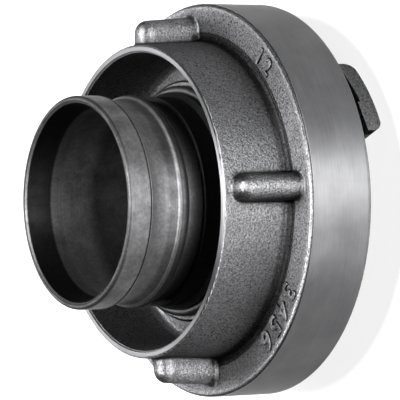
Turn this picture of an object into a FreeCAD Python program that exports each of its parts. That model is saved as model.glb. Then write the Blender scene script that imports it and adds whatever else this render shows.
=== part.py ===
import FreeCAD, Part
import math
import os

V = FreeCAD.Vector

# Half of a symmetric claw coupling for a 52 mm fire hose, in millimetres.
# The axis is +Z. The coupling stands on the tips of its two claws at z = 0,
# with the hose tail up. Spanner ribs lie on +X, +Y, -X and -Y.

# Waterway and seal
TAIL_BORE_R = 22.75
SEAL_INNER_WALL = 1.4
SEAL_WIDTH = 3.8
SEAL_DEPTH = 3.2
SEAL_PROUD = 1.5
SEAL_LIP_WIDTH = 1.5
SEAL_LIP_SLOPE = 0.6
SEAL_SHELF = 0.3
SEAL_GAP = 0.05

# Collar at the front of the tail, which stops the locking ring
COLLAR_OUTER_WALL = 1.95
COLLAR_SHOULDER = 3.05
COLLAR_THICK = 6.1
COLLAR_SETBACK = 0.5
COLLAR_CHAMFER = 0.4
COLLAR_GAP = 0.2
COLLAR_AXIAL_GAP = 0.1

# Claws
CLAW_COUNT = 2
CLAW_ANGLE = 33.3
CLAW_ARC = 29.0
CLAW_PROUD = 10.5
CLAW_NECK_THICK = 5.5
CLAW_HOOK = 3.5
CLAW_HEAD_THICK = 4.6
CLAW_TIP_ROUND = 2.5
CLAW_LEAD_ARC = 6.0
CLAW_LEAD_DEPTH = 0.3
CLAW_RELIEF_FROM = 11.0
CLAW_RELIEF_DEPTH = 0.8
CLAW_ROOT = 1.0

# Ramped slots that take the claws of the other half
TURN_TO_LOCK = 90.0
CLAW_TO_ENTRY_ARC = 6.5
CLAW_SIDE_GAP = 1.5
CLAW_RADIAL_GAP = 0.7
HEAD_RADIAL_GAP = 0.9
HEAD_AXIAL_GAP = 2.2
FACE_GAP_AT_ENTRY = 1.8
RAMP_RISE = 1.0
SLOT_INNER_WALL = 2.1

# Rim of the locking ring
RIM_WALL = 6.1
RIM_FRONT_ROUND = 1.6
RIM_BACK_STEP = 0.35
RIM_BACK_STEP_LENGTH = 0.75
RIM_BACK_ROUND = 0.45

# Hub and web
WEB_THICK = 4.75
WEB_RECESS = 1.3
WEB_FILLET = 1.2
HUB_BORE_GAP = 0.06
HUB_WALL = 2.99
HUB_PROUD = 4.85
HUB_EDGE_CHAMFER = 0.5

# Skirt with its spanner ribs
SKIRT_GAP = 6.0
SKIRT_LENGTH = 17.95
SKIRT_ROOT_WALL = 3.5
SKIRT_RIM_WALL = 1.9
SKIRT_BORE_TAPER = 0.8
SKIRT_RIM_ROUND = 0.6
SKIRT_RIM_CHAMFER = 0.4
SKIRT_ROOT_FILLET = 1.4
RIB_COUNT = 4
RIB_WIDTH = 7.0
RIB_PROUD = 6.5
RIB_FALL = 1.0
RIB_FLANK_DRAFT = 0.25
RIB_SETBACK = 1.8
RIB_ROOT = 2.0
RIB_SUNK = 0.9
RIB_FOOT_FILLET = 0.8

# Hose tail behind the hub, with distances from its free end
TAIL_PROUD = 18.35
BODY_STEP = 1.1
BODY_STEP_LAND = 1.2
WAIST_STEP = 1.05
WAIST_STEP_SLOPE = 0.3
WAIST_END = 21.4
BEAD_END = 17.2
BEAD_CREST_AT = 16.2
BEAD_RISE_AT = 14.2
BEAD_RISE_DROP = 0.65
HOLLOW_DEPTH = 1.3
HOLLOW_AT = 10.9
END_WALL = 3.35
END_LAND_LENGTH = 6.2
LAND_GROOVE_AT = 5.9
END_ROUND = 0.8
LAND_GROOVE = 0.2
MOUTH_FLARE = 1.65
MOUTH_CONE_LENGTH = 9.0
MOUTH_CHAMFER = 0.4

# Retaining wire
WIRE_D = 2.4
WIRE_SEAT = 0.75
WIRE_AXIAL_GAP = 0.15
WIRE_GROOVE_GAP = 0.1
WIRE_SPLIT_ARC = 10.0
WIRE_SPLIT_ANGLE = 225.0

# Points closer than this count as one when edges are looked up
SAME_PLACE = 0.005

# Radii worked out from the bore outwards
SEAL_GROOVE_INNER_R = TAIL_BORE_R + SEAL_INNER_WALL
SEAL_INNER_R = SEAL_GROOVE_INNER_R + SEAL_GAP
SEAL_OUTER_R = SEAL_INNER_R + SEAL_WIDTH
SEAL_GROOVE_OUTER_R = SEAL_OUTER_R + SEAL_GAP
COLLAR_R = SEAL_GROOVE_OUTER_R + COLLAR_OUTER_WALL
COLLAR_BORE_R = COLLAR_R + COLLAR_GAP
BEARING_R = COLLAR_R - COLLAR_SHOULDER
SLOT_INNER_R = COLLAR_BORE_R + SLOT_INNER_WALL
CLAW_INNER_R = SLOT_INNER_R + CLAW_RADIAL_GAP
CLAW_NECK_R = CLAW_INNER_R + CLAW_NECK_THICK
CLAW_HEAD_R = CLAW_NECK_R + CLAW_HOOK
SLOT_OUTER_R = CLAW_NECK_R + CLAW_RADIAL_GAP
CHANNEL_R = CLAW_HEAD_R + HEAD_RADIAL_GAP
RIM_R = CHANNEL_R + RIM_WALL
HUB_BORE_R = BEARING_R + HUB_BORE_GAP
HUB_R = HUB_BORE_R + HUB_WALL
SKIRT_BORE_ROOT_R = HUB_R + SKIRT_GAP
SKIRT_BORE_RIM_R = SKIRT_BORE_ROOT_R + SKIRT_BORE_TAPER
SKIRT_ROOT_R = SKIRT_BORE_ROOT_R + SKIRT_ROOT_WALL
SKIRT_RIM_R = SKIRT_BORE_RIM_R + SKIRT_RIM_WALL
RIB_CREST_R = SKIRT_ROOT_R + RIB_PROUD
RIB_DOME_CREST_R = RIB_CREST_R - RIB_FALL
BODY_R = BEARING_R - BODY_STEP
WAIST_R = BODY_R - WAIST_STEP
END_LAND_R = TAIL_BORE_R + END_WALL
HOLLOW_R = END_LAND_R - HOLLOW_DEPTH
BEAD_RISE_R = END_LAND_R - BEAD_RISE_DROP
MOUTH_R = TAIL_BORE_R + MOUTH_FLARE
WIRE_R = WIRE_D / 2
WIRE_RING_R = BEARING_R - WIRE_SEAT + WIRE_R

# Heights worked out from the claw tips upwards
RIM_FRONT_Z = CLAW_PROUD
CHANNEL_TOP_Z = RIM_FRONT_Z + CLAW_PROUD - CLAW_HEAD_THICK - FACE_GAP_AT_ENTRY
CHANNEL_FLOOR_Z = CHANNEL_TOP_Z + CLAW_HEAD_THICK + RAMP_RISE + HEAD_AXIAL_GAP
WEB_Z = CHANNEL_FLOOR_Z + WEB_THICK
RIM_BACK_Z = WEB_Z + WEB_RECESS
SKIRT_RIM_Z = RIM_BACK_Z + SKIRT_LENGTH
HUB_END_Z = RIM_BACK_Z + HUB_PROUD
TAIL_END_Z = SKIRT_RIM_Z + TAIL_PROUD
RIB_BACK_Z = RIM_BACK_Z - RIB_SUNK
COLLAR_FRONT_Z = RIM_FRONT_Z + COLLAR_SETBACK
COLLAR_BACK_Z = COLLAR_FRONT_Z + COLLAR_THICK
SEAL_FLOOR_Z = COLLAR_FRONT_Z + SEAL_DEPTH
SEAT_Z = COLLAR_BACK_Z + COLLAR_AXIAL_GAP
WIRE_CENTRE_Z = HUB_END_Z + WIRE_AXIAL_GAP + WIRE_R
BODY_STEP_Z = WIRE_CENTRE_Z + WIRE_R + BODY_STEP_LAND

# Slot angles, counted from the claw beside it
SLOT_HALF_ARC = CLAW_ARC / 2 + CLAW_SIDE_GAP
ENTRY_START = CLAW_ARC / 2 + CLAW_TO_ENTRY_ARC


def outline(*steps):
    """Closed face in the XZ plane from points, and arcs given as (middle, end)."""
    here = V(steps[0][0], 0, steps[0][1])
    first = here
    edges = []
    for step in steps[1:]:
        if isinstance(step[0], tuple):
            middle = V(step[0][0], 0, step[0][1])
            end = V(step[1][0], 0, step[1][1])
            edges.append(Part.Arc(here, middle, end).toShape())
        else:
            end = V(step[0], 0, step[1])
            edges.append(Part.makeLine(here, end))
        here = end
    edges.append(Part.makeLine(here, first))
    return Part.Face(Part.Wire(edges))


def turned(face, start=0.0, arc=360.0):
    """Solid of revolution of a face in the XZ plane, from one angle on."""
    solid = face.revolve(V(0, 0, 0), V(0, 0, 1), arc)
    solid.rotate(V(0, 0, 0), V(0, 0, 1), start)
    return solid


def ring_sector(inner_r, outer_r, low_z, high_z, start, arc):
    """Part of a flat ring between two radii, two heights and two angles."""
    face = outline((inner_r, low_z), (outer_r, low_z), (outer_r, high_z), (inner_r, high_z))
    return turned(face, start, arc)


def round_corner(centre_r, centre_z, radius, from_deg, to_deg):
    """Arc for outline(): its middle and end, by angles in the XZ plane."""
    middle = math.radians((from_deg + to_deg) / 2)
    end = math.radians(to_deg)
    middle_point = (centre_r + radius * math.cos(middle), centre_z + radius * math.sin(middle))
    end_point = (centre_r + radius * math.cos(end), centre_z + radius * math.sin(end))
    return (middle_point, end_point)


def make_ring_blank():
    """Turned section of the locking ring: rim, web, hub and counterbore."""
    step_r = RIM_R - RIM_BACK_STEP
    fillet = WEB_FILLET
    skirt_middle_r = (SKIRT_ROOT_R + SKIRT_BORE_ROOT_R) / 2
    face = outline(
        (COLLAR_BORE_R, RIM_FRONT_Z),
        (RIM_R - RIM_FRONT_ROUND, RIM_FRONT_Z),
        round_corner(RIM_R - RIM_FRONT_ROUND, RIM_FRONT_Z + RIM_FRONT_ROUND, RIM_FRONT_ROUND, -90, 0),
        (RIM_R, RIM_BACK_Z - RIM_BACK_STEP_LENGTH),
        (step_r, RIM_BACK_Z - RIM_BACK_STEP_LENGTH),
        (step_r, RIM_BACK_Z - RIM_BACK_ROUND),
        round_corner(step_r - RIM_BACK_ROUND, RIM_BACK_Z - RIM_BACK_ROUND, RIM_BACK_ROUND, 0, 90),
        (skirt_middle_r, RIM_BACK_Z),
        (skirt_middle_r, WEB_Z),
        (HUB_R + fillet, WEB_Z),
        round_corner(HUB_R + fillet, WEB_Z + fillet, fillet, 270, 180),
        (HUB_R, HUB_END_Z - HUB_EDGE_CHAMFER),
        (HUB_R - HUB_EDGE_CHAMFER, HUB_END_Z),
        (HUB_BORE_R, HUB_END_Z),
        (HUB_BORE_R, SEAT_Z),
        (COLLAR_BORE_R, SEAT_Z),
    )
    return turned(face)


def make_skirt():
    """Collar behind the rim, slightly tapered inside and out."""
    face = outline(
        (SKIRT_BORE_ROOT_R - WEB_FILLET, WEB_Z - WEB_FILLET),
        (SKIRT_ROOT_R + SKIRT_ROOT_FILLET, WEB_Z - WEB_FILLET),
        (SKIRT_ROOT_R + SKIRT_ROOT_FILLET, RIM_BACK_Z),
        round_corner(SKIRT_ROOT_R + SKIRT_ROOT_FILLET, RIM_BACK_Z + SKIRT_ROOT_FILLET,
                     SKIRT_ROOT_FILLET, 270, 180),
        (SKIRT_RIM_R, SKIRT_RIM_Z - SKIRT_RIM_ROUND),
        round_corner(SKIRT_RIM_R - SKIRT_RIM_ROUND, SKIRT_RIM_Z - SKIRT_RIM_ROUND,
                     SKIRT_RIM_ROUND, 0, 90),
        (SKIRT_BORE_RIM_R + SKIRT_RIM_CHAMFER, SKIRT_RIM_Z),
        (SKIRT_BORE_RIM_R, SKIRT_RIM_Z - SKIRT_RIM_CHAMFER),
        (SKIRT_BORE_ROOT_R, WEB_Z + WEB_FILLET),
        round_corner(SKIRT_BORE_ROOT_R - WEB_FILLET, WEB_Z + WEB_FILLET, WEB_FILLET, 0, -90),
    )
    return turned(face)


def make_rib(angle):
    """Spanner rib along the skirt: round crest that falls towards a domed toe."""
    foot_r = SKIRT_ROOT_R - RIB_ROOT
    dome_z = SKIRT_RIM_Z - RIB_SETBACK - RIB_WIDTH / 2
    back = make_rib_section(foot_r, RIB_CREST_R, RIB_BACK_Z)
    front = make_rib_section(foot_r, RIB_DOME_CREST_R, dome_z)
    bar = Part.makeLoft([back, front], True, True)
    half = make_rib_half_section(foot_r, RIB_DOME_CREST_R, dome_z)
    toe = Part.Face(half).revolve(V(0, 0, dome_z), V(1, 0, 0), 360)
    rib = bar.fuse(toe).removeSplitter()
    rib.rotate(V(0, 0, 0), V(0, 0, 1), angle)
    return rib


def fuse_ribs(body):
    """Add the ribs, with a cast fillet all round the foot of each."""
    ribs = [make_rib(step * 360 / RIB_COUNT) for step in range(RIB_COUNT)]
    feet = body.section(Part.makeCompound(ribs))
    fused = body.fuse(ribs).removeSplitter()
    return fused.makeFillet(RIB_FOOT_FILLET, edges_along(fused, feet))


def edges_along(shape, curves):
    """Edges of a shape whose ends and middle lie on the given curves."""
    found = []
    for edge in shape.Edges:
        if edge.Degenerated:
            continue
        first = edge.FirstParameter
        last = edge.LastParameter
        spots = [edge.valueAt(first + (last - first) * share) for share in (0.0, 0.5, 1.0)]
        if all(curves.distToShape(Part.Vertex(spot))[0] < SAME_PLACE for spot in spots):
            found.append(edge)
    return found


def make_rib_section(foot_r, crest_r, z):
    """Closed outline of a rib on +X at one height: drafted flanks and a half-round crest."""
    foot = RIB_WIDTH / 2
    top = foot - RIB_FLANK_DRAFT
    centre_r = crest_r - top
    right = V(centre_r, top, z)
    left = V(centre_r, -top, z)
    crest = Part.Arc(right, V(crest_r, 0, z), left).toShape()
    down = Part.makeLine(left, V(foot_r, -foot, z))
    across = Part.makeLine(V(foot_r, -foot, z), V(foot_r, foot, z))
    up = Part.makeLine(V(foot_r, foot, z), right)
    return Part.Wire([crest, down, across, up])


def make_rib_half_section(foot_r, crest_r, z):
    """One half of the rib's outline, closed along the middle, to turn into its toe."""
    foot = RIB_WIDTH / 2
    top = foot - RIB_FLANK_DRAFT
    centre_r = crest_r - top
    slant = math.radians(45)
    bend = V(centre_r + top * math.sin(slant), top * math.cos(slant), z)
    crest = Part.Arc(V(centre_r, top, z), bend, V(crest_r, 0, z)).toShape()
    middle = Part.makeLine(V(crest_r, 0, z), V(foot_r, 0, z))
    across = Part.makeLine(V(foot_r, 0, z), V(foot_r, foot, z))
    up = Part.makeLine(V(foot_r, foot, z), V(centre_r, top, z))
    return Part.Wire([crest, middle, across, up])


def make_claw(angle):
    """Hook that stands on the front flange: neck, outward head and lead-in."""
    start = angle - CLAW_ARC / 2
    root_z = RIM_FRONT_Z + CLAW_ROOT
    neck = ring_sector(CLAW_INNER_R, CLAW_NECK_R, 0, root_z, start, CLAW_ARC)
    head = ring_sector(CLAW_INNER_R, CLAW_HEAD_R, 0, CLAW_HEAD_THICK, start, CLAW_ARC)
    claw = neck.fuse(head).removeSplitter()
    tips = []
    for edge in claw.Edges:
        at_tip = edge.BoundBox.ZMax < 0.001
        if at_tip and edge.Curve.TypeId == "Part::GeomLine":
            tips.append(edge)
    claw = claw.makeFillet(CLAW_TIP_ROUND, tips)
    lead = make_claw_wedge(start, CLAW_LEAD_ARC, CLAW_LEAD_DEPTH)
    relief_arc = CLAW_ARC - CLAW_RELIEF_FROM - 1.0
    relief = make_claw_wedge(start + CLAW_RELIEF_FROM, relief_arc, CLAW_RELIEF_DEPTH)
    return claw.cut([lead, relief])


def make_claw_wedge(start, arc, depth):
    """Wedge to take off the head's underside, deepest at its start angle."""
    radial = CLAW_HEAD_R - CLAW_NECK_R + 1.0
    run = CLAW_HEAD_R * math.radians(arc)
    corners = [(0, -depth), (run, 0), (run, 0.5), (0, 0.5), (0, -depth)]
    wedge = Part.makePolygon([V(0, along, CLAW_HEAD_THICK + up) for along, up in corners])
    solid = Part.Face(wedge).extrude(V(radial, 0, 0))
    solid.translate(V(CLAW_NECK_R, 0, 0))
    solid.rotate(V(0, 0, 0), V(0, 0, 1), start)
    return solid


def make_ramp(start, arc):
    """Wedge under the front flange whose helical face draws the claws in."""
    pitch = RAMP_RISE * 360 / TURN_TO_LOCK
    low_z = CHANNEL_TOP_Z
    block = ring_sector(SLOT_INNER_R, CHANNEL_R, low_z, low_z + RAMP_RISE * arc / TURN_TO_LOCK + 0.5,
                        start, arc)
    turns = (arc + 10.0) / 360
    spine = Part.makeHelix(pitch, pitch * turns, CLAW_NECK_R)
    near = SLOT_INNER_R - 2.0
    far = CHANNEL_R + 2.0
    section = Part.makePolygon([V(near, 0, 0), V(far, 0, 0), V(far, 0, 4.0), V(near, 0, 4.0), V(near, 0, 0)])
    cutter = Part.Wire(spine.Edges).makePipeShell([section], True, True)
    cutter.translate(V(0, 0, low_z))
    cutter.rotate(V(0, 0, 0), V(0, 0, 1), start)
    return block.cut(cutter)


def make_slot(claw_angle):
    """Room for one claw of the other half: entry, narrow slot and ramped channel."""
    entry = claw_angle + ENTRY_START
    mouth_arc = 2 * SLOT_HALF_ARC
    length = mouth_arc + TURN_TO_LOCK
    above = RIM_FRONT_Z - 1.0
    mouth = ring_sector(SLOT_INNER_R, CHANNEL_R, above, CHANNEL_FLOOR_Z, entry, mouth_arc)
    gate = ring_sector(SLOT_INNER_R, SLOT_OUTER_R, above, CHANNEL_FLOOR_Z, entry, length)
    channel = ring_sector(SLOT_INNER_R, CHANNEL_R, CHANNEL_TOP_Z, CHANNEL_FLOOR_Z, entry, length)
    ramp = make_ramp(entry + mouth_arc, TURN_TO_LOCK)
    return channel.cut(ramp).fuse([mouth, gate]).removeSplitter()


def make_locking_ring():
    """The casting that is turned by hand or spanner to lock the coupling."""
    ring = fuse_ribs(make_ring_blank().fuse(make_skirt()))
    claws = [make_claw(CLAW_ANGLE + step * 360 / CLAW_COUNT) for step in range(CLAW_COUNT)]
    ring = ring.fuse(claws).removeSplitter()
    for step in range(CLAW_COUNT):
        ring = ring.cut(make_slot(CLAW_ANGLE + step * 360 / CLAW_COUNT))
    return ring


def from_end(distance):
    """Height of a point on the tail, given from its free end."""
    return TAIL_END_Z - distance


def make_hose_tail():
    """Turned tube that the hose is bound to, with the collar at its front."""
    face = outline(
        (TAIL_BORE_R, COLLAR_FRONT_Z),
        (SEAL_GROOVE_INNER_R, COLLAR_FRONT_Z),
        (SEAL_GROOVE_INNER_R, SEAL_FLOOR_Z),
        (SEAL_GROOVE_OUTER_R, SEAL_FLOOR_Z),
        (SEAL_GROOVE_OUTER_R, COLLAR_FRONT_Z),
        (COLLAR_R - COLLAR_CHAMFER, COLLAR_FRONT_Z),
        (COLLAR_R, COLLAR_FRONT_Z + COLLAR_CHAMFER),
        (COLLAR_R, COLLAR_BACK_Z),
        (BEARING_R, COLLAR_BACK_Z),
        (BEARING_R, BODY_STEP_Z),
        (BODY_R, BODY_STEP_Z + BODY_STEP),
        (BODY_R, from_end(WAIST_END)),
        (WAIST_R, from_end(WAIST_END - WAIST_STEP_SLOPE)),
        (WAIST_R, from_end(BEAD_END)),
        ((END_LAND_R, from_end(BEAD_CREST_AT)), (BEAD_RISE_R, from_end(BEAD_RISE_AT))),
        ((HOLLOW_R, from_end(HOLLOW_AT)), (END_LAND_R, from_end(END_LAND_LENGTH))),
        (END_LAND_R, from_end(LAND_GROOVE_AT + LAND_GROOVE)),
        (END_LAND_R - LAND_GROOVE, from_end(LAND_GROOVE_AT)),
        (END_LAND_R, from_end(LAND_GROOVE_AT - LAND_GROOVE)),
        (END_LAND_R, from_end(END_ROUND)),
        round_corner(END_LAND_R - END_ROUND, from_end(END_ROUND), END_ROUND, 0, 90),
        (MOUTH_R + MOUTH_CHAMFER, TAIL_END_Z),
        (MOUTH_R, from_end(MOUTH_CHAMFER)),
        (TAIL_BORE_R, from_end(MOUTH_CONE_LENGTH)),
    )
    groove = Part.makeTorus(WIRE_RING_R, WIRE_R + WIRE_GROOVE_GAP, V(0, 0, WIRE_CENTRE_Z))
    return turned(face).cut(groove)


def make_seal_ring():
    """Rubber lip seal, proud of the face so that two halves press together."""
    top = COLLAR_FRONT_Z - SEAL_PROUD
    shelf = COLLAR_FRONT_Z - SEAL_SHELF
    lip = SEAL_LIP_WIDTH
    face = outline(
        (SEAL_INNER_R, SEAL_FLOOR_Z),
        (SEAL_INNER_R, top + lip / 2),
        ((SEAL_INNER_R + lip / 2, top), (SEAL_INNER_R + lip, top + lip / 2)),
        (SEAL_INNER_R + lip + SEAL_LIP_SLOPE, shelf),
        (SEAL_OUTER_R, shelf),
        (SEAL_OUTER_R, SEAL_FLOOR_Z),
    )
    return turned(face)


def make_snap_ring():
    """Split steel wire that keeps the locking ring on the tail."""
    circle = Part.Circle(V(WIRE_RING_R, 0, WIRE_CENTRE_Z), V(0, 1, 0), WIRE_R)
    face = Part.Face(Part.Wire(circle.toShape()))
    start = WIRE_SPLIT_ANGLE + WIRE_SPLIT_ARC / 2
    return turned(face, start, 360 - WIRE_SPLIT_ARC)


def export(name, shape):
    """Write one piece as a STEP file and report its size."""
    box = shape.BoundBox
    print(name, "solids", len(shape.Solids), "valid", shape.isValid(),
          "volume", round(shape.Volume, 1), "z", round(box.ZMin, 3), round(box.ZMax, 3))
    shape.exportStep("parts/" + name + ".step")


os.makedirs("parts", exist_ok=True)
export("locking_ring", make_locking_ring())
export("hose_tail", make_hose_tail())
export("seal_ring", make_seal_ring())
export("snap_ring", make_snap_ring())
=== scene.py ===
import functools
import math

import bmesh
import bpy
from mathutils import Matrix, Vector


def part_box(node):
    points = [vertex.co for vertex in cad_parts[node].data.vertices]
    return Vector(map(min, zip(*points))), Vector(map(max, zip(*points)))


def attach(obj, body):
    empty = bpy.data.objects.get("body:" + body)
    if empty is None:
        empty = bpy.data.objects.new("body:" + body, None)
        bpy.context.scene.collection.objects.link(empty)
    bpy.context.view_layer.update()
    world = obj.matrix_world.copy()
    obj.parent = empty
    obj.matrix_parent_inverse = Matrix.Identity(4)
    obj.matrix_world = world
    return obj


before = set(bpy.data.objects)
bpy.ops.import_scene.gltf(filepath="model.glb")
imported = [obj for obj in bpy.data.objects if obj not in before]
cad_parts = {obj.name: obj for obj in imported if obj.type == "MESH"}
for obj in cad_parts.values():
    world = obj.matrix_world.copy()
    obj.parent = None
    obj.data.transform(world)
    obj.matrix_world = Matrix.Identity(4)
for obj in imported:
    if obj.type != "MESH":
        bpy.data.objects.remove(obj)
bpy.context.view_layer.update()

bl_info = {
    "name": "Quarter turn fire hose coupling",
    "version": (1, 0, 0),
    "blender": (4, 5, 0),
    "location": "3D View > Sidebar > Coupling",
    "description": "Dresses a claw coupling half: cast locking ring, turned hose tail, seal and wire",
    "category": "Object",
}

MM = 0.001
RING_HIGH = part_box("locking_ring")[1]
TAIL_LOW, TAIL_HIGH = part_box("hose_tail")
TAIL_END = Vector((0.0, 0.0, TAIL_HIGH.z))

# Height of the ring's turned front face
RIM_FRONT = TAIL_LOW.z - 0.5 * MM

# The edge of the casting's hub: radius and height
HUB_RADIUS = 29.85 * MM
HUB_HEIGHT = 32.6 * MM

# Where the worn rim edge, painted highlights, painted light, painted shade and turned faces lie on the ring:
# how far past one of its sizes, outwards or up, and over what width
SOFT_EDGE = 0.1 * MM
RIM_EDGE_OUT = (-1.3 * MM, 0.9 * MM)
RIB_OUT = (1.4 * MM, 0.6 * MM)
RIB_UP = (0.9 * MM, 1.0 * MM)
CLAW_UP = (-0.4 * MM, 0.4 * MM)
HUB_EDGE_OUT = (0.0, 1.0 * MM)
HUB_EDGE_UP = (0.0, 0.4 * MM)
HUB_FACE_OUT = (-0.4 * MM, 0.2 * MM)
HUB_FACE_UP = (0.6 * MM, SOFT_EDGE)
WEB_OUT = (-2.2 * MM, 0.6 * MM)
WEB_UP = (-0.8 * MM, 3.0 * MM)
FOOT_OUT = (0.9 * MM, 2.1 * MM)
FOOT_UP = (1.9 * MM, 1.4 * MM)
FOOT_LINE_OUT = (2.1 * MM, 0.5 * MM)
FOOT_LINE_UP = (0.5 * MM, 0.4 * MM)
FRONT_FACE_UP = (0.1 * MM, SOFT_EDGE)
SKIRT_EDGE_UP = (-0.35 * MM, SOFT_EDGE)

# The same on the tail, outwards from its bore, up, and in from its end
OUTSIDE_OUT = (0.4 * MM, 0.2 * MM)
LIP_LINE_OUT = (0.5 * MM, 0.3 * MM)
LIP_LINE_IN = (0.2 * MM, SOFT_EDGE)
GAP_UP = (0.0, 5 * MM)

# How much brighter than the open casting its painted highlights and painted light are (the rim's edge also
# worn), and how much darker its painted shade
RIM_EDGE_WEAR_AND_HIGHLIGHT = 1.6
RIB_HIGHLIGHT = 1.25
CLAW_LIGHT = 1.4
HUB_FACE_LIGHT = 2.5
WEB_LIGHT = 2.5
HUB_EDGE_SHADE = 0.25
SKIRT_FOOT_SHADE = 0.2
FOOT_LINE_SHADE = 0.35

# Painted shade in the casting's corners, laid twice: widely, and closely in the last bit of them; the claws
# get a flat painted shade instead
WIDE_CORNER_SHADE = 0.25
CLOSE_CORNER_SHADE = 0.12
CLOSE_SHADE_REACH = 0.9 * MM
CLAW_FLAT_SHADE = 0.9

# Tints of the fine patterns, from their darkest to their brightest
GRAIN_TINT = (0.25, 1.85)
CAST_PATCH_TINT = (0.88, 1.12)
TURNED_PATCH_TINT = (0.82, 1.18)
RIM_MARK_TINT = (0.92, 1.08)
TAIL_MARK_TINT = (0.9, 1.1)
STAIN_TINT = (0.62, 1.25)
SCUFF_TINT = (0.78, 1.22)

# Widths of the fine patterns, and the depth of the lines left by turning
PATCH_SIZE = 14 * MM
RIM_MARK_SIZE = 0.25 * MM
STAIN_SIZE = 6 * MM
SCUFF_SIZE = 0.8 * MM
MARK_DEPTH = 0.004 * MM

# Roughness, which on the tail runs with its stains
CAST_ROUGHNESS = 0.42
RIB_ROUGHNESS = 0.38
RIM_ROUGHNESS = 0.46
TAIL_ROUGHNESS = (0.58, 0.48)

# How far highlights are drawn out, and the quarter turn that lays them across the turning marks
CAST_STREAK = 0.5
RIM_STREAK = 0.8
TAIL_STREAK = 0.3
ACROSS_THE_MARKS = 0.25

# Oxide keeps metal dull where it is seen almost edge on, more so on the blasted casting
CAST_EDGE = (0.28, 0.28, 0.28, 1.0)
TURNED_EDGE = (0.65, 0.65, 0.65, 1.0)

# Painted highlights and painted shade along the outside of the tail, as mm from its end and factor,
# and the painted shade of the line inside its lip and of its foot in the gap
TAIL_PAINTED_LIGHT = (
    (0.0, 0.42), (0.5, 0.42), (0.9, 0.9), (5.6, 1.0), (5.75, 0.3), (6.0, 0.3), (6.2, 1.4), (9.0, 1.4),
    (10.8, 1.0), (12.2, 0.6), (13.8, 0.5), (14.0, 1.5), (14.5, 1.5), (14.75, 0.3), (16.2, 0.3),
    (16.5, 0.7), (16.9, 0.7), (17.2, 0.25), (18.0, 0.3), (24.0, 0.45), (30.0, 1.0),
)
# Painted reflection and painted shade along the bore, as mm from the tail's end and factor
BORE_PAINTED_LIGHT = (
    (0.0, 0.9), (0.45, 0.9), (0.6, 0.08), (6.4, 0.1), (6.9, 0.6), (8.7, 0.6), (9.5, 1.35), (30.0, 1.2),
)
LIP_LINE_SHADE = 0.25
GAP_SHADE = 0.3

# Rubber and wire: darkest and lightest colour, and roughness over the same pattern
RUBBER_COLORS = ((0.014, 0.014, 0.015, 1), (0.04, 0.04, 0.042, 1))
RUBBER_ROUGHNESS = (0.5, 0.68)
DUST_SIZE = 0.8 * MM
DUST_DEPTH = 0.01 * MM
WIRE_COLORS = ((0.02, 0.02, 0.021, 1), (0.06, 0.06, 0.062, 1))
WIRE_ROUGHNESS = (0.42, 0.55)
OIL_SIZE = 2.5 * MM
WIRE_MARK_SIZE = 0.15 * MM
WIRE_MARK_DEPTH = 0.003 * MM

# Range that holds nearly all of a noise, range of openness from corner to clear, and rays that feel it
NOISE_RANGE = (0.3, 0.7)
CORNER_RANGE = (0.35, 0.95)
CORNER_RAYS = 6

# Figures on the flange: name, signs, angle of the first, degrees between them and size, and how each
# sign is rounded, made bolder and welded
FIGURES = (
    ("figures_upper", "12", 46.8, 5.4, 5.8 * MM),
    ("figures_lower", "3456", -34.0, 6.6, 7.2 * MM),
)
SIGN_ROUND = 0.12 * MM
SIGN_BOLDER = 0.06 * MM
SIGN_WELD = 0.001 * MM
SIGN_CURVE_STEPS = 6
SIGN_ROUND_STEPS = 2

# Lamps: name, direction in the camera's right, up and backward, distance and size in m, power in W
AIM = Vector((0.0, 0.0, 0.03))
LIGHTS = (
    ("right", (0.48, 0.15, 0.86), 0.9, 0.45, 27.0),
    ("lower_right", (0.50, -0.32, 0.80), 0.9, 0.6, 13.0),
    ("overhead", (-0.835, 0.10, 0.54), 0.9, 0.4, 37.0),
    ("back_left", (-0.90, 0.0, -0.42), 0.9, 0.5, 7.0),
)

# The floor's colour, and the camera's sensor in mm and range in m
FLOOR_PAINT = (0.9, 0.9, 0.9, 1)
SENSOR_WIDTH_MM = 36.0
NEAREST_SEEN = 0.01
FARTHEST_SEEN = 100.0


class RingSettings(bpy.types.PropertyGroup):
    """Locking ring: sizes, colours and grain of its cast and turned surfaces."""

    rim_radius: bpy.props.FloatProperty(
        name="Turned rim radius", description="Surfaces further out than this are turned, not cast",
        default=RING_HIGH.x - 0.2 * MM, unit="LENGTH", subtype="DISTANCE")
    skirt_radius: bpy.props.FloatProperty(
        name="Skirt radius", description="Outside of the skirt where it stands on the flange",
        default=39.5 * MM, unit="LENGTH", subtype="DISTANCE")
    flange_height: bpy.props.FloatProperty(
        name="Flange height", description="Height of the flat cast face behind the rim",
        default=28.45 * MM, unit="LENGTH", subtype="DISTANCE")
    cast_color: bpy.props.FloatVectorProperty(
        name="Cast colour", description="Colour of the blasted casting",
        default=(0.082, 0.082, 0.084), size=3, min=0, max=1, subtype="COLOR")
    turned_color: bpy.props.FloatVectorProperty(
        name="Turned colour", description="Colour of the ring where it is turned",
        default=(0.108, 0.108, 0.111), size=3, min=0, max=1, subtype="COLOR")
    # Reach of the painted shade out of the casting's corners
    corner_shade_reach: bpy.props.FloatProperty(
        name="Grime reach", description="How far out of its corners the casting is darkened",
        default=3.5 * MM, unit="LENGTH", subtype="DISTANCE")
    grain_size: bpy.props.FloatProperty(
        name="Grain size", description="Width of one grain of the blasted surface",
        default=0.48 * MM, unit="LENGTH", subtype="DISTANCE")
    grain_depth: bpy.props.FloatProperty(
        name="Grain depth", description="Height of the grain of the blasted surface",
        default=0.18 * MM, unit="LENGTH", subtype="DISTANCE")


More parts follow.
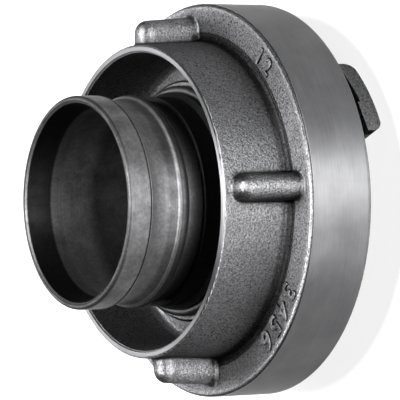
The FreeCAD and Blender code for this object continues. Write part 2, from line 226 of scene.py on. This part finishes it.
class TailSettings(bpy.types.PropertyGroup):
    """Hose tail: colour, marks and grime of its turned surface."""

    color: bpy.props.FloatVectorProperty(
        name="Colour", description="Colour of the turned aluminium",
        default=(0.098, 0.098, 0.100), size=3, min=0, max=1, subtype="COLOR")
    # The bore inside this radius carries painted reflection and shade
    bore_radius: bpy.props.FloatProperty(
        name="Bore radius", description="Surfaces this far in are the dull waterway",
        default=24.4 * MM, unit="LENGTH", subtype="DISTANCE")
    # Below this height, inside the skirt, the tail carries painted shade
    gap_shade_height: bpy.props.FloatProperty(
        name="Grime height", description="The tail is grimy below this height, inside the skirt",
        default=47.0 * MM, unit="LENGTH", subtype="DISTANCE")
    line_pitch: bpy.props.FloatProperty(
        name="Line pitch", description="Distance between the fine lines left by turning",
        default=0.12 * MM, unit="LENGTH", subtype="DISTANCE")


class FigureSettings(bpy.types.PropertyGroup):
    """Plain figures that stand out of the casting."""

    middle_radius: bpy.props.FloatProperty(
        name="Middle radius", description="Circle that the figures stand on",
        default=44.5 * MM, unit="LENGTH", subtype="DISTANCE")
    proud: bpy.props.FloatProperty(
        name="Proud", description="How far the figures stand out of the flange",
        default=0.48 * MM, unit="LENGTH", subtype="DISTANCE")
    sunk: bpy.props.FloatProperty(
        name="Sunk", description="How far the figures reach into the flange",
        default=0.12 * MM, unit="LENGTH", subtype="DISTANCE")


class StageSettings(bpy.types.PropertyGroup):
    """Camera, floor and lights."""

    view_angle: bpy.props.FloatProperty(
        name="View angle", description="Between the coupling's axis and the line to the camera",
        default=math.radians(57.47), subtype="ANGLE")
    view_roll: bpy.props.FloatProperty(
        name="View roll", description="Turn of the picture about the line of sight",
        default=math.radians(-0.9), subtype="ANGLE")
    rib_angle: bpy.props.FloatProperty(
        name="Rib angle", description="How far the near spanner rib is turned up from the picture's right",
        default=math.radians(4.75), subtype="ANGLE")
    distance: bpy.props.FloatProperty(
        name="Distance", description="From the camera to the plane of the tail's end",
        default=0.800, unit="LENGTH", subtype="DISTANCE")
    aside: bpy.props.FloatVectorProperty(
        name="Aside", description="Place of the tail's end right of and above the picture's centre",
        default=(-0.03048, -0.00070), size=2, unit="LENGTH", subtype="XYZ")
    lens: bpy.props.FloatProperty(
        name="Lens", description="Focal length on a 36 mm sensor, in millimetres",
        default=296.0, unit="CAMERA")
    floor_size: bpy.props.FloatProperty(
        name="Floor size", description="Side of the square floor",
        default=8.0, unit="LENGTH", subtype="DISTANCE")
    floor_shadow: bpy.props.FloatProperty(
        name="Floor shadow", description="Share of the floor's brightness that the object's shadow can take",
        default=0.25, min=0, max=1, subtype="FACTOR")
    world_level: bpy.props.FloatProperty(
        name="World level", description="Brightness of the grey surroundings",
        default=0.03, min=0, max=1, subtype="FACTOR")


def link_object(name, data):
    obj = bpy.data.objects.new(name, data)
    bpy.context.scene.collection.objects.link(obj)
    return obj


class Finish:
    """A material's node tree, with short calls for the nodes that the finishes share."""

    def __init__(self, name, metallic):
        self.material = bpy.data.materials.new(name)
        self.material.use_nodes = True
        self.tree = self.material.node_tree
        self.shader = self.tree.nodes["Principled BSDF"]
        self.shader.inputs["Metallic"].default_value = metallic
        self.place = self.tree.nodes.new("ShaderNodeTexCoord").outputs["Object"]
        split = self.tree.nodes.new("ShaderNodeSeparateXYZ")
        self.tree.links.new(self.place, split.inputs[0])
        self.x, self.y, self.height = split.outputs

    def feed(self, socket, value):
        """Give a socket a constant, or link another node's output to it."""
        if isinstance(value, bpy.types.NodeSocket):
            self.tree.links.new(value, socket)
        else:
            socket.default_value = value

    def math(self, operation, first, second=0.0):
        node = self.tree.nodes.new("ShaderNodeMath")
        node.operation = operation
        self.feed(node.inputs[0], first)
        self.feed(node.inputs[1], second)
        return node.outputs[0]

    def combine(self, x, y, z):
        node = self.tree.nodes.new("ShaderNodeCombineXYZ")
        self.feed(node.inputs[0], x)
        self.feed(node.inputs[1], y)
        self.feed(node.inputs[2], z)
        return node.outputs[0]

    @functools.cached_property
    def radius(self):
        """Distance from the coupling's axis."""
        node = self.tree.nodes.new("ShaderNodeVectorMath")
        node.operation = "LENGTH"
        self.feed(node.inputs[0], self.combine(self.x, self.y, 0.0))
        return node.outputs["Value"]

    def step(self, value, size, past=0.0, width=SOFT_EDGE):
        """0 below a place some way past a size and 1 above it, with a soft change."""
        edge = size + past
        node = self.tree.nodes.new("ShaderNodeMapRange")
        node.interpolation_type = "SMOOTHSTEP"
        self.feed(node.inputs["Value"], value)
        node.inputs["From Min"].default_value = edge - width / 2
        node.inputs["From Max"].default_value = edge + width / 2
        return node.outputs["Result"]

    def below(self, value, size, past=0.0, width=SOFT_EDGE):
        """1 below a place some way past a size and 0 above it, with a soft change."""
        return self.inverse(self.step(value, size, past, width))

    def band(self, value, size, past, width):
        """1 within a band round a place some way past a size, with soft sides."""
        half = width / 2
        return self.scaled(self.step(value, size + past, -half, half),
                           self.below(value, size + past, half, half))

    def spread(self, value, low, high):
        """The usual range of a noise, spread between two other values."""
        node = self.tree.nodes.new("ShaderNodeMapRange")
        self.feed(node.inputs["Value"], value)
        node.inputs["From Min"].default_value = NOISE_RANGE[0]
        node.inputs["From Max"].default_value = NOISE_RANGE[1]
        node.inputs["To Min"].default_value = low
        node.inputs["To Max"].default_value = high
        return node.outputs["Result"]

    def mix(self, share, first, second):
        """A number between two others, by the share of the second."""
        node = self.tree.nodes.new("ShaderNodeMix")
        self.feed(node.inputs[0], share)
        self.feed(node.inputs[2], first)
        self.feed(node.inputs[3], second)
        return node.outputs[0]

    def blend(self, share, first, second, blend_type="MIX"):
        """A colour made of two others, by the share of the second."""
        node = self.tree.nodes.new("ShaderNodeMix")
        node.data_type = "RGBA"
        node.blend_type = blend_type
        self.feed(node.inputs[0], share)
        self.feed(node.inputs[6], first)
        self.feed(node.inputs[7], second)
        return node.outputs[2]

    def noise(self, size, detail, roughness, stretch=1.0, place=None):
        """Noise with grains of a size, drawn out along the turning marks by the stretch."""
        mapping = self.tree.nodes.new("ShaderNodeMapping")
        self.feed(mapping.inputs["Vector"], place or self.place)
        mapping.inputs["Scale"].default_value = (1 / (size * stretch), 1 / (size * stretch), 1 / size)
        node = self.tree.nodes.new("ShaderNodeTexNoise")
        self.feed(node.inputs["Vector"], mapping.outputs[0])
        node.inputs["Scale"].default_value = 1.0
        node.inputs["Detail"].default_value = detail
        node.inputs["Roughness"].default_value = roughness
        return node.outputs["Fac"]

    def turning_marks(self, size, stretch):
        """Noise drawn out round the axis, on cylinders and on flat faces alike."""
        across = self.math("ADD", self.radius, self.height)
        place = self.combine(self.x, self.y, across)
        return self.noise(size, detail=2.0, roughness=0.6, stretch=stretch, place=place)

    def round_the_axis(self):
        """Let highlights spread across the turning marks and stay narrow along them."""
        tangent = self.tree.nodes.new("ShaderNodeTangent")
        tangent.direction_type = "RADIAL"
        tangent.axis = "Z"
        self.tree.links.new(tangent.outputs[0], self.shader.inputs["Tangent"])
        self.shader.inputs["Anisotropic Rotation"].default_value = ACROSS_THE_MARKS

    def corner_shade(self, reach, darkest):
        """Painted shade: 1 on open surfaces, falling to the darkest value in corners."""
        node = self.tree.nodes.new("ShaderNodeAmbientOcclusion")
        node.samples = CORNER_RAYS
        node.inputs["Distance"].default_value = reach
        ramp = self.tree.nodes.new("ShaderNodeMapRange")
        ramp.interpolation_type = "SMOOTHSTEP"
        self.feed(ramp.inputs["Value"], node.outputs["AO"])
        ramp.inputs["From Min"].default_value = CORNER_RANGE[0]
        ramp.inputs["From Max"].default_value = CORNER_RANGE[1]
        ramp.inputs["To Min"].default_value = darkest
        return ramp.outputs["Result"]

    def along_profile(self, depth, points):
        """A factor read from points of depth in mm and factor, joined by straight lines."""
        deepest = points[-1][0]
        ramp = self.tree.nodes.new("ShaderNodeValToRGB")
        elements = ramp.color_ramp.elements
        largest = max(factor for _, factor in points)
        while len(elements) < len(points):
            elements.new(1.0)
        for element, (at, factor) in zip(elements, points):
            element.position = at / deepest
            element.color = opaque((factor / largest,) * 3)
        self.feed(ramp.inputs["Fac"], self.scaled(depth, 1 / (deepest * MM)))
        return self.scaled(ramp.outputs["Color"], largest)

    def bump(self, height, distance, under=None):
        """A surface raised by a pattern, on top of another bump if one is given."""
        node = self.tree.nodes.new("ShaderNodeBump")
        node.inputs["Distance"].default_value = distance
        node.inputs["Strength"].default_value = 1.0
        self.feed(node.inputs["Height"], height)
        if under is not None:
            self.feed(node.inputs["Normal"], under)
        return node.outputs[0]

    def scaled(self, value, share):
        return self.math("MULTIPLY", value, share)

    def inverse(self, value):
        return self.math("SUBTRACT", 1.0, value)

    def weighed(self, tint, place, factor):
        """The tint, times the factor where the place is 1."""
        return self.scaled(tint, self.mix(place, 1.0, factor))

    def paint(self, color, tint):
        """Colour the surface, brighter and darker by the tint."""
        self.feed(self.shader.inputs["Base Color"], self.blend(1.0, color, tint, "MULTIPLY"))


def opaque(color):
    return (color[0], color[1], color[2], 1.0)


def cast_wear_and_light(finish, settings, claws, ribs):
    """Places of the casting with their factors: the worn rim edge with a painted highlight, painted
    highlights on the ribs and claws, painted light on the hub's face and web, and painted shade over the
    hub's edge.
    """
    radius, height = finish.radius, finish.height
    # The rim's rounded edge: worn, and with a painted highlight
    rim_edge = finish.step(radius, settings.rim_radius, *RIM_EDGE_OUT)
    # Painted shade over the hub's rounded edge, dimming its highlight
    hub_edge = finish.scaled(finish.band(radius, HUB_RADIUS, *HUB_EDGE_OUT),
                             finish.step(height, HUB_HEIGHT, *HUB_EDGE_UP))
    # Painted light on the hub's face and on the web inside the skirt
    hub_face = finish.scaled(finish.below(radius, HUB_RADIUS, *HUB_FACE_OUT),
                             finish.step(height, HUB_HEIGHT, *HUB_FACE_UP))
    web = finish.scaled(finish.band(height, settings.flange_height, *WEB_UP),
                        finish.below(radius, settings.skirt_radius, *WEB_OUT))
    return ((rim_edge, RIM_EDGE_WEAR_AND_HIGHLIGHT), (ribs, RIB_HIGHLIGHT), (claws, CLAW_LIGHT),
            (hub_edge, HUB_EDGE_SHADE), (hub_face, HUB_FACE_LIGHT), (web, WEB_LIGHT))


def skirt_foot_shade(finish, settings):
    """Painted shade round the foot of the skirt, where it stands on the flange, with its factors."""
    radius, height = finish.radius, finish.height
    foot = finish.scaled(finish.band(radius, settings.skirt_radius, *FOOT_OUT),
                         finish.below(height, settings.flange_height, *FOOT_UP))
    line = finish.scaled(finish.band(radius, settings.skirt_radius, *FOOT_LINE_OUT),
                         finish.below(height, settings.flange_height, *FOOT_LINE_UP))
    return ((foot, SKIRT_FOOT_SHADE), (line, FOOT_LINE_SHADE))


def cast_aluminium(settings):
    """Blasted aluminium casting, turned on the rim, the front face and the skirt's edge."""
    finish = Finish("cast_aluminium", metallic=1.0)
    shader = finish.shader
    radius, height = finish.radius, finish.height
    # The claws, which are painted lighter and get a flat painted shade in place of the corner shade
    claws = finish.below(height, RIM_FRONT, *CLAW_UP)
    # The spanner ribs, which get a painted highlight and less roughness
    ribs = finish.scaled(finish.step(radius, settings.skirt_radius, *RIB_OUT),
                         finish.step(height, settings.flange_height, *RIB_UP))
    rim = finish.step(radius, settings.rim_radius)
    front = finish.inverse(finish.math("MAXIMUM", claws, finish.step(height, RIM_FRONT, *FRONT_FACE_UP)))
    skirt_edge = finish.step(height, RING_HIGH.z, *SKIRT_EDGE_UP)
    turned = finish.math("MAXIMUM", rim, finish.math("MAXIMUM", front, skirt_edge))
    grain = finish.noise(settings.grain_size, detail=3.0, roughness=0.65)
    patches = finish.noise(PATCH_SIZE, detail=3.0, roughness=0.6)
    marks = finish.turning_marks(RIM_MARK_SIZE, stretch=40.0)

    cast_tint = finish.scaled(finish.spread(grain, *GRAIN_TINT), finish.spread(patches, *CAST_PATCH_TINT))
    # Painted highlights, painted light and painted shade, and the worn rim edge
    for place, factor in cast_wear_and_light(finish, settings, claws, ribs):
        cast_tint = finish.weighed(cast_tint, place, factor)
    turned_tint = finish.scaled(finish.spread(marks, *RIM_MARK_TINT),
                                finish.spread(patches, *TURNED_PATCH_TINT))
    tint = finish.mix(turned, cast_tint, turned_tint)
    # Painted shade in the casting's corners, kept lighter on the claws
    painted_shade = finish.scaled(finish.corner_shade(settings.corner_shade_reach, WIDE_CORNER_SHADE),
                          finish.corner_shade(CLOSE_SHADE_REACH, CLOSE_CORNER_SHADE))
    tint = finish.scaled(tint, finish.mix(claws, painted_shade, CLAW_FLAT_SHADE))
    # Painted shade and a painted dark line round the foot of the skirt
    for place, factor in skirt_foot_shade(finish, settings):
        tint = finish.weighed(tint, place, factor)

    finish.paint(finish.blend(turned, opaque(settings.cast_color), opaque(settings.turned_color)), tint)
    cast_roughness = finish.mix(ribs, CAST_ROUGHNESS, RIB_ROUGHNESS)
    finish.feed(shader.inputs["Roughness"], finish.mix(turned, cast_roughness, RIM_ROUGHNESS))
    finish.feed(shader.inputs["Specular Tint"], finish.blend(turned, CAST_EDGE, TURNED_EDGE))
    finish.feed(shader.inputs["Anisotropic"], finish.mix(turned, CAST_STREAK, RIM_STREAK))
    finish.round_the_axis()
    grainy = finish.bump(finish.scaled(grain, finish.inverse(turned)), settings.grain_depth)
    finish.feed(shader.inputs["Normal"], finish.bump(finish.scaled(marks, turned), MARK_DEPTH, grainy))
    return finish.material


def turned_aluminium(settings):
    """Turned aluminium: fine lines round the axis and stains, with painted highlights and painted shade
    along its profile, painted reflection and shade in the bore, and painted shade in the gap.
    """
    finish = Finish("turned_aluminium", metallic=1.0)
    shader = finish.shader
    radius, height = finish.radius, finish.height
    depth = finish.math("SUBTRACT", TAIL_HIGH.z, height)
    marks = finish.turning_marks(settings.line_pitch, stretch=80.0)
    stains = finish.noise(STAIN_SIZE, detail=5.0, roughness=0.65)
    scuffs = finish.noise(SCUFF_SIZE, detail=3.0, roughness=0.7)

    outside = finish.step(radius, settings.bore_radius, *OUTSIDE_OUT)
    # Painted highlights, reflection and shade along the bore and the outside of the tail
    painted_light = finish.mix(outside, finish.along_profile(depth, BORE_PAINTED_LIGHT),
                       finish.along_profile(depth, TAIL_PAINTED_LIGHT))
    # Painted shade in a thin line inside the lip
    lip_line = finish.scaled(finish.band(radius, settings.bore_radius, *LIP_LINE_OUT),
                             finish.below(depth, 0.0, *LIP_LINE_IN))
    painted_light = finish.weighed(painted_light, lip_line, LIP_LINE_SHADE)
    # Painted shade on the tail inside the skirt, in the gap
    above_gap = finish.step(height, settings.gap_shade_height, *GAP_UP)
    painted_light = finish.scaled(painted_light, finish.mix(above_gap, GAP_SHADE, 1.0))
    tint = finish.scaled(finish.spread(marks, *TAIL_MARK_TINT), finish.spread(stains, *STAIN_TINT))
    tint = finish.scaled(finish.scaled(tint, finish.spread(scuffs, *SCUFF_TINT)), painted_light)

    finish.paint(opaque(settings.color), tint)
    finish.feed(shader.inputs["Roughness"], finish.spread(stains, *TAIL_ROUGHNESS))
    shader.inputs["Anisotropic"].default_value = TAIL_STREAK
    shader.inputs["Specular Tint"].default_value = TURNED_EDGE
    finish.round_the_axis()
    finish.feed(shader.inputs["Normal"], finish.bump(marks, MARK_DEPTH))
    return finish.material


def black_rubber():
    """Moulded rubber with a faint sheen and fine dust."""
    finish = Finish("black_rubber", metallic=0.0)
    dust = finish.noise(DUST_SIZE, detail=4.0, roughness=0.7)
    finish.feed(finish.shader.inputs["Base Color"], finish.blend(dust, *RUBBER_COLORS))
    finish.feed(finish.shader.inputs["Roughness"], finish.spread(dust, *RUBBER_ROUGHNESS))
    finish.feed(finish.shader.inputs["Normal"], finish.bump(dust, DUST_DEPTH))
    return finish.material


def spring_steel():
    """Drawn steel wire, darkened by oil."""
    finish = Finish("spring_steel", metallic=1.0)
    oil = finish.noise(OIL_SIZE, detail=3.0, roughness=0.6)
    finish.feed(finish.shader.inputs["Base Color"], finish.blend(oil, *WIRE_COLORS))
    finish.feed(finish.shader.inputs["Roughness"], finish.spread(oil, *WIRE_ROUGHNESS))
    marks = finish.noise(WIRE_MARK_SIZE, detail=2.0, roughness=0.5)
    finish.feed(finish.shader.inputs["Normal"], finish.bump(marks, WIRE_MARK_DEPTH))
    return finish.material


def dress(node, material):
    """Give a CAD node its finish."""
    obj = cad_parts[node]
    obj.data.materials.clear()
    obj.data.materials.append(material)


class COUPLING_OT_locking_ring(bpy.types.Operator):
    """Dress the locking ring"""

    bl_idname = "coupling.locking_ring"
    bl_label = "Dress locking ring"

    def execute(self, context):
        dress("locking_ring", cast_aluminium(context.scene.coupling_ring))
        return {"FINISHED"}


def join_casting(obj):
    """Let a piece of cast detail move with the ring and share its finish."""
    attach(obj, "ring")
    obj.data.materials.clear()
    obj.data.materials.append(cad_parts["locking_ring"].data.materials[0])


class COUPLING_OT_figures(bpy.types.Operator):
    """Add the raised figures on the flange"""

    bl_idname = "coupling.figures"
    bl_label = "Add figures"

    def execute(self, context):
        settings = context.scene.coupling_figures
        floor = context.scene.coupling_ring.flange_height
        for name, signs, first, pitch, size in FIGURES:
            shape = bmesh.new()
            for place, sign in enumerate(signs):
                angle = math.radians(first - place * pitch)
                self.add_sign(shape, settings, sign, angle, size, floor)
            mesh = bpy.data.meshes.new(name)
            shape.to_mesh(mesh)
            shape.free()
            join_casting(link_object(name, mesh))
        return {"FINISHED"}

    def add_sign(self, shape, settings, sign, angle, size, floor):
        """Add one figure to the bmesh, with its top away from the axis."""
        text = bpy.data.curves.new("sign", "FONT")
        text.body = sign
        text.size = size
        text.align_x = "CENTER"
        text.align_y = "CENTER"
        text.resolution_u = SIGN_CURVE_STEPS
        text.offset = SIGN_BOLDER
        text.extrude = (settings.proud + settings.sunk) / 2 - SIGN_ROUND
        text.bevel_depth = SIGN_ROUND
        text.bevel_resolution = SIGN_ROUND_STEPS
        obj = link_object("sign", text)
        depsgraph = bpy.context.evaluated_depsgraph_get()
        mesh = bpy.data.meshes.new_from_object(obj.evaluated_get(depsgraph))
        outward = Vector((math.cos(angle), math.sin(angle), 0.0))
        reading = Vector((math.sin(angle), -math.cos(angle), 0.0))
        turn = Matrix((reading, outward, Vector((0, 0, 1)))).transposed().to_4x4()
        middle = outward * settings.middle_radius
        middle.z = floor + (settings.proud - settings.sunk) / 2
        mesh.transform(Matrix.Translation(middle) @ turn)
        shape.from_mesh(mesh)
        bmesh.ops.remove_doubles(shape, verts=shape.verts, dist=SIGN_WELD)
        bpy.data.objects.remove(obj)
        bpy.data.curves.remove(text)
        bpy.data.meshes.remove(mesh)


class COUPLING_OT_hose_tail(bpy.types.Operator):
    """Dress the hose tail"""

    bl_idname = "coupling.hose_tail"
    bl_label = "Dress hose tail"

    def execute(self, context):
        dress("hose_tail", turned_aluminium(context.scene.coupling_tail))
        return {"FINISHED"}


class COUPLING_OT_small_parts(bpy.types.Operator):
    """Dress the seal and the retaining wire"""

    bl_idname = "coupling.small_parts"
    bl_label = "Dress seal and wire"

    def execute(self, context):
        dress("seal_ring", black_rubber())
        dress("snap_ring", spring_steel())
        return {"FINISHED"}


class COUPLING_OT_stage(bpy.types.Operator):
    """Add the camera, the floor and the lights"""

    bl_idname = "coupling.stage"
    bl_label = "Add stage"

    def execute(self, context):
        settings = context.scene.coupling_stage
        to_part = self.camera_axes(settings)
        self.add_camera(context, settings, to_part)
        self.add_floor(settings)
        self.add_lights(to_part)
        self.add_world(context, settings)
        context.scene.view_settings.view_transform = "Standard"
        return {"FINISHED"}

    def camera_axes(self, settings):
        """Rotation from the camera's right, up and backward to the coupling's axes."""
        theta = settings.view_angle
        roll = settings.view_roll
        along = Vector((-math.sin(theta) * math.cos(roll), math.sin(roll), math.cos(theta) * math.cos(roll)))
        right = Vector((math.cos(theta), 0.0, math.sin(theta)))
        up = along.cross(right)
        turn = settings.rib_angle
        part_x = right * math.cos(turn) + up * math.sin(turn)
        part_y = up * math.cos(turn) - right * math.sin(turn)
        return Matrix((part_x, part_y, along))

    def add_camera(self, context, settings, to_part):
        seen_at = Vector((settings.aside[0], settings.aside[1], -settings.distance))
        camera = bpy.data.cameras.new("camera")
        camera.lens = settings.lens
        camera.sensor_width = SENSOR_WIDTH_MM
        camera.clip_start = NEAREST_SEEN
        camera.clip_end = FARTHEST_SEEN
        obj = link_object("camera", camera)
        obj.matrix_world = Matrix.Translation(TAIL_END - to_part @ seen_at) @ to_part.to_4x4()
        context.scene.camera = obj

    def add_floor(self, settings):
        shape = bmesh.new()
        bmesh.ops.create_grid(shape, x_segments=1, y_segments=1, size=settings.floor_size / 2)
        mesh = bpy.data.meshes.new("floor")
        shape.to_mesh(mesh)
        shape.free()
        floor = link_object("floor", mesh)
        mesh.materials.append(self.floor_finish(settings))

    def floor_finish(self, settings):
        """White floor, of which the camera, metal and glass see most as plain white."""
        material = bpy.data.materials.new("floor")
        material.use_nodes = True
        tree = material.node_tree
        tree.nodes.clear()
        rays = tree.nodes.new("ShaderNodeLightPath")
        seen = rays.outputs["Is Camera Ray"]
        for kind in ("Is Glossy Ray", "Is Transmission Ray"):
            either = tree.nodes.new("ShaderNodeMath")
            either.operation = "ADD"
            either.use_clamp = True
            tree.links.new(seen, either.inputs[0])
            tree.links.new(rays.outputs[kind], either.inputs[1])
            seen = either.outputs[0]
        share = tree.nodes.new("ShaderNodeMath")
        share.operation = "MULTIPLY"
        tree.links.new(seen, share.inputs[0])
        share.inputs[1].default_value = 1.0 - settings.floor_shadow
        paint = tree.nodes.new("ShaderNodeBsdfDiffuse")
        paint.inputs["Color"].default_value = FLOOR_PAINT
        white = tree.nodes.new("ShaderNodeEmission")
        mix = tree.nodes.new("ShaderNodeMixShader")
        out = tree.nodes.new("ShaderNodeOutputMaterial")
        tree.links.new(share.outputs[0], mix.inputs[0])
        tree.links.new(paint.outputs[0], mix.inputs[1])
        tree.links.new(white.outputs[0], mix.inputs[2])
        tree.links.new(mix.outputs[0], out.inputs["Surface"])
        return material

    def add_lights(self, to_part):
        for name, toward, distance, size, power in LIGHTS:
            light = bpy.data.lights.new(name, "AREA")
            light.shape = "DISK"
            light.size = size
            light.energy = power
            obj = link_object(name, light)
            direction = (to_part @ Vector(toward)).normalized()
            facing = direction.to_track_quat("Z", "Y").to_matrix().to_4x4()
            obj.matrix_world = Matrix.Translation(AIM + direction * distance) @ facing

    def add_world(self, context, settings):
        world = context.scene.world or bpy.data.worlds.new("world")
        context.scene.world = world
        world.use_nodes = True
        background = world.node_tree.nodes["Background"]
        background.inputs["Color"].default_value = (1, 1, 1, 1)
        background.inputs["Strength"].default_value = settings.world_level


class COUPLING_PT_build(bpy.types.Panel):
    """Sizes, colours and buttons of the coupling"""

    bl_label = "Fire hose coupling"
    bl_idname = "COUPLING_PT_build"
    bl_space_type = "VIEW_3D"
    bl_region_type = "UI"
    bl_category = "Coupling"

    def draw(self, context):
        scene = context.scene
        for title, settings in (("Locking ring", scene.coupling_ring), ("Hose tail", scene.coupling_tail),
                                ("Cast detail", scene.coupling_figures), ("Stage", scene.coupling_stage)):
            box = self.layout.box()
            box.label(text=title)
            for name in settings.__annotations__:
                box.prop(settings, name)
        for operator in CLASSES:
            if issubclass(operator, bpy.types.Operator):
                self.layout.operator(operator.bl_idname)


CLASSES = (
    RingSettings, TailSettings, FigureSettings, StageSettings,
    COUPLING_OT_locking_ring, COUPLING_OT_figures,
    COUPLING_OT_hose_tail, COUPLING_OT_small_parts, COUPLING_OT_stage, COUPLING_PT_build,
)


def register():
    for item in CLASSES:
        bpy.utils.register_class(item)
    bpy.types.Scene.coupling_ring = bpy.props.PointerProperty(type=RingSettings)
    bpy.types.Scene.coupling_tail = bpy.props.PointerProperty(type=TailSettings)
    bpy.types.Scene.coupling_figures = bpy.props.PointerProperty(type=FigureSettings)
    bpy.types.Scene.coupling_stage = bpy.props.PointerProperty(type=StageSettings)


def unregister():
    del bpy.types.Scene.coupling_ring
    del bpy.types.Scene.coupling_tail
    del bpy.types.Scene.coupling_figures
    del bpy.types.Scene.coupling_stage
    for item in reversed(CLASSES):
        bpy.utils.unregister_class(item)


def main():
    register()
    bpy.ops.coupling.locking_ring()
    bpy.ops.coupling.figures()
    bpy.ops.coupling.hose_tail()
    bpy.ops.coupling.small_parts()
    bpy.ops.coupling.stage()


if __name__ == "__main__":
    main()
